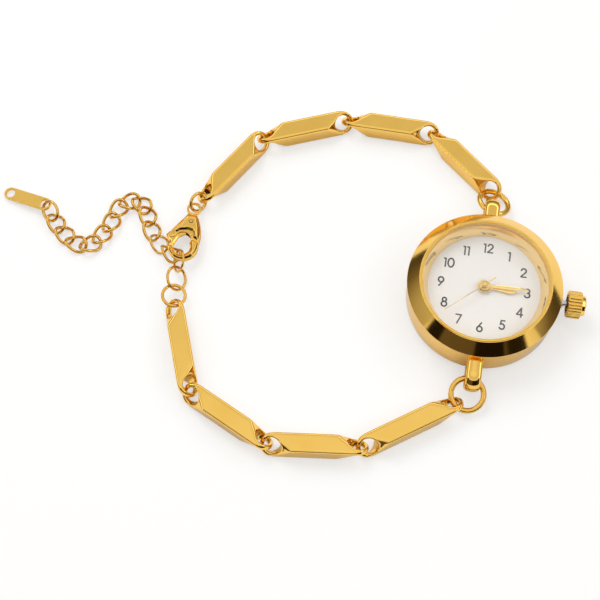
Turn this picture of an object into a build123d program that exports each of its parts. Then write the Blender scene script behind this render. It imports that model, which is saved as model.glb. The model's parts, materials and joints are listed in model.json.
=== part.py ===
from build123d import *
import os
from math import atan2, cos, degrees, pi, radians, sin, sqrt

os.makedirs("parts", exist_ok=True)

# Ladies' bracelet watch lying flat. Millimetres. The origin is the centre of the flat case back,
# +Z points up through the dial, +Y to 12 o'clock and +X to the crown at 3 o'clock.

mm = 1.0
running = 0.06 * mm
seat = 0.02 * mm
overrun = 6.0 * mm

# Watch head heights
backThick = 0.8 * mm
bandFoot = 1.1 * mm
bandTop = 5.4 * mm
bezelTop = 7.2 * mm
dialFace = 4.65 * mm
dialThick = 0.35 * mm

# Watch head radii
caseRadius = 10.75 * mm
caseWall = 1.7 * mm
bezelOver = 0.25 * mm
bezelLedge = 0.1 * mm
dialGap = 0.15 * mm
sightWide = 0.95 * mm
backSlope = 0.65 * mm
bezelRadius = caseRadius + bezelOver
boreRadius = caseRadius - caseWall
bezelInner = boreRadius + bezelLedge
dialRadius = boreRadius - dialGap
dialSight = dialRadius - sightWide
restRadius = boreRadius - backSlope

# Bracelet
barSide = 2.7 * mm
barSpan = 11.4 * mm
longBarSpan = 12.9 * mm
bladeThick = 0.68 * mm
eyeRadius = 1.75 * mm
eyeHole = 1.25 * mm
eyeGap = 1.75 * mm
bigRingOuter = 5.35 * mm
bigRingWire = 0.8 * mm

# Fastening
chainWire = 0.46 * mm
chainPitch = 2.52 * mm
hookReach = 8.6 * mm
claspLow = 1.15 * mm
claspHigh = 1.9 * mm

# Facets of round forms that are small or out of sight
hiddenSides = 28
eyeSides = 16
smallSides = 12


def keep(piece, name):
    piece.part.label = name
    export_step(piece.part, f"parts/{name}.step")


def turned(radii, heights):
    # A turned ring or disc: the outline is given as radii and heights, point by point.
    with BuildPart() as piece:
        with BuildSketch(Plane.XZ):
            with BuildLine():
                Polyline(*zip(radii, heights), close=True)
            make_face()
        revolve(axis=Axis.Z)
    return piece


def facetedRing(outer, inner, foot, top):
    # A seal or spacer that nobody sees, with flats that stay inside its outer and outside its inner radius.
    with BuildPart() as piece:
        with BuildSketch(Plane.XY.offset(foot)):
            RegularPolygon(outer, hiddenSides)
            RegularPolygon(inner, hiddenSides, major_radius=False, mode=Mode.SUBTRACT)
        extrude(amount=top - foot)
    return piece


def levelPlane(x, y, z, heading, roll=0.0, pitch=0.0):
    # A plane whose X axis runs along a heading, pitched up and then rolled about itself.
    place = Plane(origin=(x, y, z)).rotated((roll, 0, 0))
    place = place.rotated((0, -pitch, 0))
    return place.rotated((0, 0, heading))


def wireLoop(place, reach, breadth, wire, stops, sides, lift=0.0):
    # A closed loop of faceted wire. Its centre line is an oval that is twisted out of its plane by lift.
    def station(k):
        turn = 2 * pi * k / stops
        at = place.from_local_coords(Vector(reach * cos(turn), breadth * sin(turn), lift * sin(2 * turn)))
        out = place.x_dir * (breadth * cos(turn)) + place.y_dir * (reach * sin(turn))
        along = place.y_dir * (breadth * cos(turn)) - place.x_dir * (reach * sin(turn))
        along = along + place.z_dir * (2 * lift * cos(2 * turn))
        return Plane(origin=at, x_dir=along.cross(out).cross(along), z_dir=along)

    with BuildPart() as loop:
        for half in range(2):
            for k in range(stops // 2 + 1):
                with BuildSketch(station(k + half * stops // 2)):
                    RegularPolygon(wire / 2, sides)
            loft(ruled=True)
    return loop


# Watch head: turned case parts

lugWide = 2.15 * mm
lugThick = 0.82 * mm
lugHole = 1.31 * mm
lugOut = 4.25 * mm
lugHeight = 2.65 * mm
lugSoft = 0.35 * mm
lugStops = 8
lugReach = caseRadius + lugOut
lugCentre = lugReach - lugThick - lugHole
tubeRadius = 0.72 * mm
tubeLength = 1.9 * mm
stemHeight = 3.05 * mm
stemRadius = 0.42 * mm
backStep = 0.35 * mm
backBore = boreRadius + backStep
backSeat = 0.7 * mm
backLipTop = 1.95 * mm
tubeProud = 0.6 * mm
tubeOut = caseRadius + tubeProud


def lugSections(side):
    # Planes along the flat wire of a lug: out of the case at its foot, round the hole and back in at the top.
    middle = lugHole + lugThick / 2
    root = side * (caseRadius - backSeat)
    places = [Plane(origin=(0, root, lugHeight - middle), x_dir=(1, 0, 0), z_dir=(0, side, 0))]
    for k in range(lugStops + 1):
        turn = pi * k / lugStops - pi / 2
        at = (0, side * (lugCentre + middle * cos(turn)), lugHeight + middle * sin(turn))
        places.append(Plane(origin=at, x_dir=(1, 0, 0), z_dir=(0, -side * sin(turn), cos(turn))))
    places.append(Plane(origin=(0, root, lugHeight + middle), x_dir=(1, 0, 0), z_dir=(0, -side, 0)))
    return places


def caseMiddle():
    with BuildPart() as case:
        with BuildSketch(Plane.XZ):
            with BuildLine():
                Polyline(
                    (boreRadius, bandFoot + backSeat),
                    (backBore, bandFoot + backSeat),
                    (backBore, bandFoot),
                    (caseRadius, bandFoot),
                    (caseRadius, bandTop - seat),
                    (boreRadius, bandTop - seat),
                    close=True,
                )
            make_face()
        revolve(axis=Axis.Z)
        for side in (1, -1):
            for place in lugSections(side):
                with BuildSketch(place) as section:
                    Rectangle(lugWide, lugThick)
                    chamfer(section.vertices(), lugSoft)
            loft(ruled=True)
        with BuildSketch(Plane.XY.offset(lugHeight - lugHole - lugThick / 2)):
            Rectangle(lugWide - lugSoft * 2, (lugCentre - lugHole) * 2)
            Circle(caseRadius - backSeat, mode=Mode.SUBTRACT)
        extrude(amount=lugHole * 2 + lugThick)
        with BuildSketch(Plane.YZ.offset(boreRadius - backSeat)):
            with Locations((0, stemHeight)):
                Circle(tubeRadius)
        extrude(amount=overrun, mode=Mode.SUBTRACT)
    keep(case, "case_middle")


def caseBack():
    rim = 0.45 * mm
    lip = 0.5 * mm
    edge = backBore - seat
    ledge = bandFoot + backSeat - rim
    with BuildPart() as back:
        with BuildSketch(Plane.XZ):
            with BuildLine():
                Polyline(
                    (0, 0),
                    (restRadius, 0),
                    (edge, rim),
                    (edge, ledge),
                    (boreRadius - seat, ledge),
                    (boreRadius - seat, backLipTop),
                    (0, backLipTop),
                    close=True,
                )
            make_face()
        revolve(axis=Axis.Z)
        with BuildSketch(Plane.XY.offset(backThick)):
            RegularPolygon(boreRadius - lip, hiddenSides)
        extrude(amount=overrun, mode=Mode.SUBTRACT)
    keep(back, "case_back")
    gasketFoot = backLipTop - rim
    gasketHigh = rim / 2
    gasket = facetedRing(edge - seat, boreRadius + seat, gasketFoot, gasketFoot + gasketHigh)
    keep(gasket, "case_back_gasket")


def bezelAndCrystal():
    lipWide = 0.2 * mm
    lipHigh = 0.12 * mm
    foot = 0.3 * mm
    bezel = turned(
        (bezelInner, bezelRadius, bezelRadius, bezelInner + lipWide, bezelInner),
        (bandTop, bandTop, bandTop + foot, bezelTop, bezelTop + lipHigh),
    )
    keep(bezel, "bezel")
    gasketWide = 0.22 * mm
    crystalThick = 0.95 * mm
    crystalRadius = bezelInner - gasketWide - seat * 2
    crystalTop = bezelTop + lipHigh
    crystalFoot = crystalTop - crystalThick
    gasket = facetedRing(bezelInner - seat, crystalRadius + seat, crystalFoot, bezelTop - lipHigh)
    keep(gasket, "crystal_gasket")
    crystal = turned((0, crystalRadius, crystalRadius, 0), (crystalFoot, crystalFoot, crystalTop, crystalTop))
    keep(crystal, "crystal")
    ring = turned((dialSight, dialRadius, dialRadius), (dialFace + seat, dialFace + seat, crystalFoot - seat))
    keep(ring, "dial_ring")


# Watch head: dial, hands and movement

postRadius = 0.16 * mm
cannonRadius = 0.38 * mm
tubeWheelRadius = 0.62 * mm
hourLevel = 4.95 * mm
minuteLevel = 5.3 * mm
secondLevel = 5.65 * mm
handThick = 0.14 * mm
plateGap = 0.03 * mm
plateFoot = 1.85 * mm
holderWall = 1.55 * mm
plateTop = dialFace - dialThick - plateGap
plateRadius = boreRadius - holderWall
hourTurn = -93.0
minuteTurn = -88.0
secondTurn = -228.0


def dial():
    dialHole = tubeWheelRadius + running
    with BuildPart() as face:
        with BuildSketch(Plane.XY.offset(dialFace - dialThick)):
            Circle(dialRadius)
            Circle(dialHole, mode=Mode.SUBTRACT)
        extrude(amount=dialThick)
    keep(face, "dial")


def hand(name, level, turn, length, tail, wide, hub, bore):
    # A flat hand lies from its tail to its tip along a heading, with a round hub on its arbor.
    place = levelPlane(0, 0, level, 90 + turn)
    tipShare = 0.35
    with BuildPart() as piece:
        with BuildSketch(place):
            with BuildLine():
                Polyline(
                    (-tail, -wide * tipShare),
                    (length * tipShare, -wide / 2),
                    (length, -wide * tipShare / 2),
                    (length, wide * tipShare / 2),
                    (length * tipShare, wide / 2),
                    (-tail, wide * tipShare),
                    close=True,
                )
            make_face()
            RegularPolygon(hub, eyeSides)
            Circle(bore, mode=Mode.SUBTRACT)
        extrude(amount=handThick)
    keep(piece, name)


def hands():
    hourLength = 4.6 * mm
    hourTail = 1.0 * mm
    hourWide = 0.75 * mm
    hourHub = 0.95 * mm
    minuteLength = 6.7 * mm
    minuteTail = 1.1 * mm
    minuteWide = 0.6 * mm
    minuteHub = 0.8 * mm
    secondLength = 6.9 * mm
    secondTail = 1.9 * mm
    secondWide = 0.22 * mm
    secondHub = 0.5 * mm
    hand("hour_hand", hourLevel, hourTurn, hourLength, hourTail, hourWide, hourHub, tubeWheelRadius)
    hand("minute_hand", minuteLevel, minuteTurn, minuteLength, minuteTail, minuteWide, minuteHub, cannonRadius)
    hand("second_hand", secondLevel, secondTurn, secondLength, secondTail, secondWide, secondHub, postRadius)


def handArbors():
    wheelRadius = 1.9 * mm
    wheelThick = 0.22 * mm
    wheelFoot = 3.85 * mm
    wheelTop = wheelFoot + wheelThick
    tubeTop = hourLevel + handThick
    tubeBore = cannonRadius + running
    wheel = turned(
        (tubeBore, wheelRadius, wheelRadius, tubeWheelRadius, tubeWheelRadius, tubeBore),
        (wheelFoot, wheelFoot, wheelTop, wheelTop, tubeTop, tubeTop),
    )
    keep(wheel, "hour_wheel")
    cannonFoot = 3.5 * mm
    cannon = turned(
        (postRadius + running, cannonRadius, cannonRadius, postRadius + running),
        (cannonFoot, cannonFoot, minuteLevel + handThick, minuteLevel + handThick),
    )
    keep(cannon, "cannon_pinion")
    postFoot = 3.0 * mm
    capHigh = 0.1 * mm
    postTop = secondLevel + handThick + capHigh
    post = turned((0, postRadius, postRadius, 0), (postFoot, postFoot, postTop, postTop))
    keep(post, "second_arbor")


batteryX = -2.9 * mm
batteryY = -2.9 * mm
batteryRadius = 3.1 * mm
batteryThick = 1.65 * mm
coilLong = 6.0 * mm
coilRadius = 0.7 * mm
coilX = -1.6 * mm
coilY = 4.6 * mm
coilHeight = 2.85 * mm


def movement():
    stemWay = stemRadius + running
    wheelWell = 2.05 * mm
    wellFoot = 3.75 * mm
    batteryWay = batteryRadius + running
    batteryRoof = plateFoot + batteryThick + seat
    coilWay = 0.15 * mm
    stemWell = 3.5 * mm
    postWay = cannonRadius + running
    with BuildPart() as plate:
        with BuildSketch(Plane.XY.offset(plateFoot)):
            RegularPolygon(plateRadius, hiddenSides)
        extrude(amount=plateTop - plateFoot)
        with BuildSketch(Plane.XY.offset(wellFoot)):
            RegularPolygon(wheelWell, eyeSides)
        extrude(amount=overrun, mode=Mode.SUBTRACT)
        with BuildSketch(Plane.XY.offset(plateFoot)):
            Circle(postWay)
        extrude(amount=overrun, mode=Mode.SUBTRACT)
        with BuildSketch(Plane.XY.offset(batteryRoof)):
            with Locations((batteryX, batteryY)):
                Circle(batteryWay)
        extrude(amount=-overrun, mode=Mode.SUBTRACT)
        with BuildSketch(Plane.XY.offset(coilHeight + coilRadius + coilWay)):
            with Locations((coilX, coilY)):
                Rectangle(coilLong + coilWay * 2, (coilRadius + coilWay) * 2)
        extrude(amount=-overrun, mode=Mode.SUBTRACT)
        with BuildSketch(Plane.YZ.offset(stemWell)):
            with Locations((0, stemHeight)):
                Circle(stemWay)
        extrude(amount=overrun, mode=Mode.SUBTRACT)
    keep(plate, "movement_plate")
    with BuildPart() as cell:
        with BuildSketch(Plane.XY.offset(plateFoot)):
            with Locations((batteryX, batteryY)):
                Circle(batteryRadius)
        extrude(amount=batteryThick)
    keep(cell, "battery_cell")
    coilSides = 8
    with BuildPart() as coil:
        with BuildSketch(Plane.YZ.offset(coilX - coilLong / 2)):
            with Locations((coilY, coilHeight)):
                RegularPolygon(coilRadius, coilSides)
        extrude(amount=coilLong)
    keep(coil, "drive_coil")
    holderInner = plateRadius + seat
    holderOuter = boreRadius - seat
    holderFoot = backLipTop + seat
    with BuildPart() as holder:
        with BuildSketch(Plane.XY.offset(holderFoot)):
            RegularPolygon(holderOuter, hiddenSides)
            RegularPolygon(holderInner, hiddenSides, major_radius=False, mode=Mode.SUBTRACT)
        extrude(amount=plateTop - holderFoot)
        with BuildSketch(Plane.YZ):
            with Locations((0, stemHeight)):
                Circle(tubeRadius + running)
        extrude(amount=boreRadius * 2, mode=Mode.SUBTRACT)
    keep(holder, "movement_holder")


# Crown, pulled out by one step as in the photograph

crownPull = 0.65 * mm
crownOut = tubeOut + crownPull
crownLong = 1.8 * mm
crownRadius = 1.95 * mm
crownFlutes = 20
crownCut = 0.16 * mm
capRadius = 1.5 * mm
capLong = 0.75 * mm
recessDepth = 1.2 * mm


def crown():
    recess = 1.15 * mm
    soft = 0.2 * mm
    lead = 0.15 * mm
    points = []
    for k in range(crownFlutes * 2):
        radius = crownRadius - crownCut * (k % 2)
        points.append((radius * cos(pi * k / crownFlutes), radius * sin(pi * k / crownFlutes) + stemHeight))
    with BuildPart() as knob:
        with BuildSketch(Plane.YZ.offset(crownOut)):
            with BuildLine():
                Polyline(*points, close=True)
            make_face()
        extrude(amount=crownLong)
        with BuildSketch(Plane.YZ.offset(crownOut + crownLong)):
            with Locations((0, stemHeight)):
                Circle(capRadius)
        extrude(amount=capLong)
        chamfer(knob.edges().group_by(Axis.X)[-1], soft)
        with BuildSketch(Plane.YZ.offset(crownOut)):
            with Locations((0, stemHeight)):
                RegularPolygon(recess, eyeSides, major_radius=False)
        extrude(amount=recessDepth, mode=Mode.SUBTRACT)
    keep(knob, "crown")
    tubeIn = tubeOut - tubeLength
    with BuildPart() as tube:
        with BuildSketch(Plane.YZ.offset(tubeIn)):
            with Locations((0, stemHeight)):
                Circle(tubeRadius - seat)
                Circle(stemRadius + running, mode=Mode.SUBTRACT)
        extrude(amount=tubeLength)
    keep(tube, "crown_tube")
    gasketLong = 0.4 * mm
    with BuildPart() as gasket:
        with BuildSketch(Plane.YZ.offset(crownOut + recessDepth - gasketLong - seat)):
            with Locations((0, stemHeight)):
                RegularPolygon(recess - seat, eyeSides)
                RegularPolygon(tubeRadius + running, eyeSides, major_radius=False, mode=Mode.SUBTRACT)
        extrude(amount=gasketLong)
    keep(gasket, "crown_gasket")
    stemIn = 4.9 * mm
    with BuildPart() as stem:
        with BuildSketch(Plane.YZ.offset(stemIn)):
            with Locations((0, stemHeight)):
                Circle(stemRadius)
        extrude(amount=crownOut + recessDepth - stemIn)
    keep(stem, "setting_stem")


# Bracelet: one bar link, then the two halves of the band

scoopShares = ((0.0, 1.0), (0.35, 0.62), (0.72, 0.32))
scoopReach = 2.6 * mm
bladeRoot = 0.17 * mm


def barLink(name, watchEye, heading, span, hand):
    # The bar runs from its watch end to its clasp end. Opposite corners are scooped away at each end, so that
    # a blade is left along one diagonal of the square, and the two blades stand square to each other.
    halfDiagonal = barSide / sqrt(2)
    halfSpan = span / 2
    tip = halfSpan + eyeRadius
    cutStart = halfSpan - scoopReach
    cutLong = scoopReach + bladeRoot
    cutDeep = halfDiagonal - bladeThick / 2
    middleX = watchEye[0] + halfSpan * cos(radians(heading))
    middleY = watchEye[1] + halfSpan * sin(radians(heading))
    place = levelPlane(middleX, middleY, barSide / 2, heading)
    with BuildPart() as bar:
        with BuildSketch(Plane(origin=place.origin, x_dir=place.y_dir, z_dir=place.x_dir)):
            Rectangle(barSide, barSide)
        extrude(amount=tip, both=True)
        for end in (1, -1):
            along = place.x_dir * end
            blade = (place.y_dir * (hand * end) + place.z_dir).normalized()
            side = Plane(origin=place.origin, x_dir=along, z_dir=blade)
            flat = Plane(origin=place.origin, x_dir=along, z_dir=side.y_dir)
            for face in (1, -1):
                scoop = [
                    (cutStart + share * cutLong, face * (bladeThick / 2 + left * cutDeep))
                    for share, left in scoopShares
                ]
                with BuildSketch(side):
                    with BuildLine():
                        Polyline(
                            *scoop,
                            (cutStart + cutLong, face * bladeThick / 2),
                            (tip + barSide, face * bladeThick / 2),
                            (tip + barSide, face * barSide),
                            (cutStart, face * barSide),
                            close=True,
                        )
                    make_face()
                extrude(amount=barSide, both=True, mode=Mode.SUBTRACT)
            with BuildSketch(flat):
                with Locations((halfSpan + barSide, 0)):
                    Rectangle(barSide * 2, barSide * 2)
                with Locations((halfSpan, 0)):
                    RegularPolygon(eyeRadius, eyeSides, mode=Mode.SUBTRACT)
            extrude(amount=barSide, both=True, mode=Mode.SUBTRACT)
            with BuildSketch(flat):
                with Locations((halfSpan, 0)):
                    RegularPolygon(eyeHole, eyeSides, major_radius=False)
            extrude(amount=barSide, both=True, mode=Mode.SUBTRACT)
    keep(bar, name)


def bandEyes(start, headings, spans):
    # Each bar starts one eye gap beyond the last one, on the line that halves the turn between them.
    x, y = start
    eyes = []
    for k, span in enumerate(spans):
        eyes.append((x, y))
        x += span * cos(radians(headings[k]))
        y += span * sin(radians(headings[k]))
        if k + 1 < len(headings):
            between = radians((headings[k] + headings[k + 1]) / 2)
            x += eyeGap * cos(between)
            y += eyeGap * sin(between)
    return eyes, (x, y)


upperAside = -0.45 * mm
upperBeyond = 2.6 * mm
lowerAside = -2.45 * mm
lowerBeyond = 2.1 * mm
upperStart = (upperAside, lugReach + upperBeyond)
upperHeadings = (140.0, 179.3, 202.2, 238.5)
upperSpans = (barSpan, barSpan, barSpan, barSpan)
lowerStart = (lowerAside, -lugReach - lowerBeyond)
lowerHeadings = (215.0, 186.5, 154.0, 110.0)
lowerSpans = (longBarSpan, barSpan, barSpan, barSpan)
upperEyes, upperEnd = bandEyes(upperStart, upperHeadings, upperSpans)
lowerEyes, lowerEnd = bandEyes(lowerStart, lowerHeadings, lowerSpans)


def bracelet():
    for k, number in enumerate((4, 3, 2, 1)):
        barLink(f"bar_link_{number}", upperEyes[k], upperHeadings[k], upperSpans[k], 1)
    for k, number in enumerate((8, 7, 6, 5)):
        barLink(f"bar_link_{number}", lowerEyes[k], lowerHeadings[k], lowerSpans[k], -1)


# Round rings. Each step leads to a centre from the lug, or from the eye or ring that it hangs in

twelveStep = (0.3 * mm, 0.25 * mm)
sixStep = (-0.4 * mm, -0.2 * mm)
claspRingStep = (-1.163 * mm, -1.629 * mm)
claspStep = (-1.613 * mm, -2.739 * mm)
endRingStep = (-0.619 * mm, 2.313 * mm)
joinRingStep = (-0.14 * mm, 2.7 * mm)
hookedRingStep = (-0.16 * mm, 2.72 * mm)
chainStep = (-1.56 * mm, 1.39 * mm)


def beside(place, step):
    return (place[0] + step[0], place[1] + step[1])


ringTwelve = beside((0, lugReach), twelveStep)
ringSix = beside((0, -lugReach), sixStep)
claspRing = beside(upperEnd, claspRingStep)
endRing = beside(lowerEnd, endRingStep)
joinRing = beside(endRing, joinRingStep)
hookedRing = beside(joinRing, hookedRingStep)
bigStops = 20
smallStops = 16
wireSides = 6


def ring(name, centre, height, turns, outer, wire, stops):
    # The turns are the heading, then roll and pitch.
    radius = (outer - wire) / 2
    keep(wireLoop(levelPlane(*centre, height, *turns), radius, radius, wire, stops, wireSides), name)


def rings():
    smallOuter = 3.25 * mm
    smallWire = 0.5 * mm
    endOuter = 3.75 * mm
    endWire = 0.48 * mm
    joinOuter = 3.8 * mm
    hookedOuter = 3.6 * mm
    joinWire = 0.42 * mm
    twelveHeight = 1.55 * mm
    sixHeight = 1.65 * mm
    claspHeight = 1.45 * mm
    endHeight = 1.43 * mm
    joinHeight = 1.46 * mm
    hookedHeight = 1.65 * mm
    ring("ring_twelve", ringTwelve, twelveHeight, (90, 14, -20), bigRingOuter, bigRingWire, bigStops)
    ring("ring_six", ringSix, sixHeight, (-90, 0, -20), bigRingOuter, bigRingWire, bigStops)
    ring("clasp_ring", claspRing, claspHeight, (74, 56, 26), smallOuter, smallWire, smallStops)
    ring("end_ring", endRing, endHeight, (121, 7, 1), endOuter, endWire, smallStops)
    ring("join_ring", joinRing, joinHeight, (116, 39.5, 27.5), joinOuter, joinWire, smallStops)
    ring("hooked_ring", hookedRing, hookedHeight, (95.3, 120, 17.5), hookedOuter, joinWire, smallStops)


# Lobster clasp, drawn from the middle of its eye, with the hook towards -Y

claspEye = beside(upperEnd, claspStep)
claspThick = 1.9 * mm
armThick = 1.1 * mm
claspEyeThick = 0.7 * mm
claspEyeRadius = 1.15 * mm
claspHole = 0.71 * mm
hookX = -0.35 * mm
hookY = -6.6 * mm
hookOuter = 2.25 * mm
mouthX = -0.55 * mm
mouthY = -6.75 * mm
mouthRadius = 1.2 * mm
mouthStep = 0.14 * mm
slotThick = 0.8 * mm
leverThick = 0.68 * mm
pivotX = 0.1 * mm
pivotY = -2.6 * mm
bossRadius = 0.6 * mm
pinRadius = 0.26 * mm
springRadius = 0.44 * mm

# Outlines of the clasp, each point as shares of the reach of the hook
armShares = (
    (-0.07, -0.10), (-0.185, -0.34), (-0.302, -0.52), (-0.302, -0.77), (0.221, -0.77),
    (0.216, -0.505), (0.187, -0.364), (0.127, -0.217), (0.07, -0.10),
)
headShares = (
    (-0.08, -0.165), (-0.295, -0.505), (-0.27, -0.61), (-0.215, -0.60), (-0.13, -0.50), (-0.02, -0.475),
    (0.05, -0.49), (0.076, -0.60), (0.215, -0.66), (0.216, -0.505), (0.187, -0.364), (0.127, -0.217),
    (0.09, -0.165),
)
mouthShares = (
    (-0.7, -0.62), (-0.27, -0.62), (-0.2, -0.59), (-0.07, -0.76), (-0.181, -0.857), (-0.42, -0.678),
    (-0.7, -0.678),
)
slotShares = (
    (-0.7, -0.227), (0.085, -0.227), (0.099, -0.245), (0.099, -0.49), (-0.02, -0.64), (-0.7, -0.77),
)
leverShares = (
    (-0.02, -0.245), (-0.2, -0.43), (-0.314, -0.495), (-0.378, -0.58), (-0.337, -0.655), (-0.3, -0.685),
    (-0.298, -0.752), (-0.188, -0.836), (-0.197, -0.72), (-0.15, -0.60), (-0.035, -0.52), (0.06, -0.37),
)


def claspPlane():
    tilt = degrees(atan2(claspHigh - claspLow, hookReach))
    return levelPlane(*claspEye, claspLow, 0).rotated((-tilt, 0, 0))


def shared(shares):
    # The points of an outline whose sizes are shares of the reach of the hook.
    return [(across * hookReach, along * hookReach) for across, along in shares]


def clasp():
    place = claspPlane()
    with BuildPart() as body:
        with BuildSketch(place):
            with Locations((hookX, hookY)):
                RegularPolygon(hookOuter, hiddenSides)
            Polygon(*shared(armShares), align=None)
        extrude(amount=armThick / 2, both=True)
        with BuildSketch(place):
            Polygon(*shared(headShares), align=None)
        extrude(amount=claspThick / 2, both=True)
        with BuildSketch(place):
            with Locations((mouthX, mouthY), (mouthX - mouthStep, mouthY + mouthRadius)):
                RegularPolygon(mouthRadius, eyeSides, major_radius=False)
            Polygon(*shared(mouthShares), align=None)
        extrude(amount=armThick, both=True, mode=Mode.SUBTRACT)
        with BuildSketch(place):
            Polygon(*shared(slotShares), align=None)
        extrude(amount=slotThick / 2, both=True, mode=Mode.SUBTRACT)
        with BuildSketch(place):
            RegularPolygon(claspEyeRadius + running, eyeSides, major_radius=False)
        extrude(amount=claspThick, both=True, mode=Mode.SUBTRACT)
        with BuildSketch(place):
            RegularPolygon(claspEyeRadius, eyeSides)
            with Locations((0, -claspEyeRadius)):
                Rectangle(claspEyeRadius, claspEyeRadius)
        extrude(amount=claspEyeThick / 2, both=True)
        with BuildSketch(place):
            RegularPolygon(claspHole, smallSides, major_radius=False)
        extrude(amount=claspThick, both=True, mode=Mode.SUBTRACT)
        with BuildSketch(place):
            with Locations((pivotX, pivotY)):
                Circle(pinRadius + seat)
        extrude(amount=claspThick, both=True, mode=Mode.SUBTRACT)
    keep(body, "clasp_body")
    with BuildPart() as lever:
        with BuildSketch(place):
            with Locations((pivotX, pivotY)):
                RegularPolygon(bossRadius, smallSides)
            Polygon(*shared(leverShares), align=None)
        extrude(amount=leverThick / 2, both=True)
        with BuildSketch(place):
            with Locations((pivotX, pivotY)):
                Circle(pinRadius + running)
        extrude(amount=leverThick, both=True, mode=Mode.SUBTRACT)
        with BuildSketch(place):
            with Locations((pivotX, pivotY)):
                RegularPolygon(springRadius + seat, smallSides, major_radius=False)
        extrude(amount=leverThick, mode=Mode.SUBTRACT)
    keep(lever, "clasp_lever")
    with BuildPart() as pin:
        with BuildSketch(place):
            with Locations((pivotX, pivotY)):
                Circle(pinRadius)
        extrude(amount=claspThick / 2, both=True)
    keep(pin, "clasp_pin")
    with BuildPart() as spring:
        with BuildSketch(place.offset(seat)):
            with Locations((pivotX, pivotY)):
                RegularPolygon(springRadius, smallSides)
                RegularPolygon(pinRadius + running, smallSides, major_radius=False, mode=Mode.SUBTRACT)
        extrude(amount=leverThick / 2 - seat)
    keep(spring, "clasp_spring")


# Extension chain: curb links laid end to end from the hooked ring, then a jump ring and the tag

chainStart = beside(hookedRing, chainStep)
chainHeadings = (144, 129, 115, 126, 176, 228, 256, 247, 231, 185, 149, 136, 128)
chainLevel = 0.6 * mm
firstLevel = 0.94 * mm
firstRoll = 22
linkReach = 1.57 * mm
linkBreadth = 1.15 * mm
linkLift = 0.5 * mm
linkStops = 10
bendShare = 0.0045
jumpHeading = 138
jumpRoll = -45
jumpReach = 1.5 * mm
jumpBreadth = 1.38 * mm
jumpLevel = 1.2 * mm
jumpStep = 1.85 * mm


def chainPlaces():
    # Each link lies midway between the two steps that meet in it, and steps are shorter where it bends.
    x, y = chainStart
    places = [levelPlane(x, y, firstLevel, chainHeadings[0], firstRoll)]
    for k, heading in enumerate(chainHeadings):
        before = chainHeadings[max(k - 1, 0)]
        after = chainHeadings[min(k + 1, len(chainHeadings) - 1)]
        if k > 0:
            places.append(levelPlane(x, y, chainLevel, (before + heading) / 2))
        last = k + 1 == len(chainHeadings)
        step = jumpStep if last else chainPitch * (1 - bendShare * abs(after - before) / 2)
        x += step * cos(radians(heading))
        y += step * sin(radians(heading))
    places.append(levelPlane(x, y, jumpLevel, jumpHeading, jumpRoll))
    return places


def chain():
    places = chainPlaces()
    for k, place in enumerate(places):
        if k + 1 < len(places):
            link = wireLoop(place, linkReach, linkBreadth, chainWire, linkStops, wireSides, linkLift)
        else:
            link = wireLoop(place, jumpReach, jumpBreadth, chainWire, smallStops, wireSides)
        keep(link, f"chain_link_{len(places) - k}")


tagHeading = 166.8
tagTilt = 8
tagHoleSpan = 5.83 * mm
tagWide = 2.0 * mm
tagThick = 0.42 * mm
tagHoleRadius = 0.68 * mm


def tag():
    hole = chainPlaces()[-1].from_local_coords(Vector(jumpReach, 0, 0))
    place = levelPlane(hole.X, hole.Y, hole.Z, tagHeading, 0, -tagTilt)
    with BuildPart() as plate:
        with BuildSketch(place):
            with Locations((tagHoleSpan / 2, 0)):
                SlotCenterToCenter(tagHoleSpan, tagWide)
            with Locations((0, 0), (tagHoleSpan, 0)):
                Circle(tagHoleRadius, mode=Mode.SUBTRACT)
        extrude(amount=tagThick / 2, both=True)
    keep(plate, "tag")


for make in (
    caseMiddle, caseBack, bezelAndCrystal, dial, hands, handArbors, movement, crown, bracelet, rings, clasp,
    chain, tag,
):
    make()
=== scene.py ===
import bmesh
import bpy
import json
import math
from mathutils import Matrix, Vector
from mathutils.bvhtree import BVHTree


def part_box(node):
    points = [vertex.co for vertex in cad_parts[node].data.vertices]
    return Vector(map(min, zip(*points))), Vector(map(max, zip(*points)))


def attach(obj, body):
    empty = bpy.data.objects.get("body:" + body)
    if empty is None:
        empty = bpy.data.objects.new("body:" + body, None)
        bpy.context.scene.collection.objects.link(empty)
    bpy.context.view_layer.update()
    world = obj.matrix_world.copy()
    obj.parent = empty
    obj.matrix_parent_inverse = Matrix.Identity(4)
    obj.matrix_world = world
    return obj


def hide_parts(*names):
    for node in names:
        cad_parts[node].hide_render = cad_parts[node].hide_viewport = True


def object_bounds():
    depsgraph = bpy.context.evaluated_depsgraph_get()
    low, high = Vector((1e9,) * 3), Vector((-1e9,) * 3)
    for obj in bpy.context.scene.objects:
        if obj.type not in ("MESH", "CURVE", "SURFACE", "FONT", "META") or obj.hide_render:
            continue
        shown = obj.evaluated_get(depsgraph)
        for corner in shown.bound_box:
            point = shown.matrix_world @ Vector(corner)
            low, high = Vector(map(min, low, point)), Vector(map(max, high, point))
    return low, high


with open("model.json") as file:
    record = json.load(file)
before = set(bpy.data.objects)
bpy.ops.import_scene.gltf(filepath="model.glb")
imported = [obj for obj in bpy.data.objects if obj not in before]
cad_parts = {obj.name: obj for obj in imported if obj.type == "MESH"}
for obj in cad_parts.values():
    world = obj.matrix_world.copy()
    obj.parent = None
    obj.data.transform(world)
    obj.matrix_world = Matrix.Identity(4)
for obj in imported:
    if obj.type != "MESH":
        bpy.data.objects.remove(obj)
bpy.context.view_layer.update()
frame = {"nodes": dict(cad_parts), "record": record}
nodes = frame["nodes"]
bodyOf = {name: body for body, names in frame["record"]["behaviour"]["bodies"].items() for name in names}
slotOf = {part["node"]: part["material_slot"] for part in frame["record"]["subparts"]}
mm = 0.001
fullTurn = 2 * math.pi
print("frame loaded with", len(nodes), "nodes")


# Shader helpers

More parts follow.
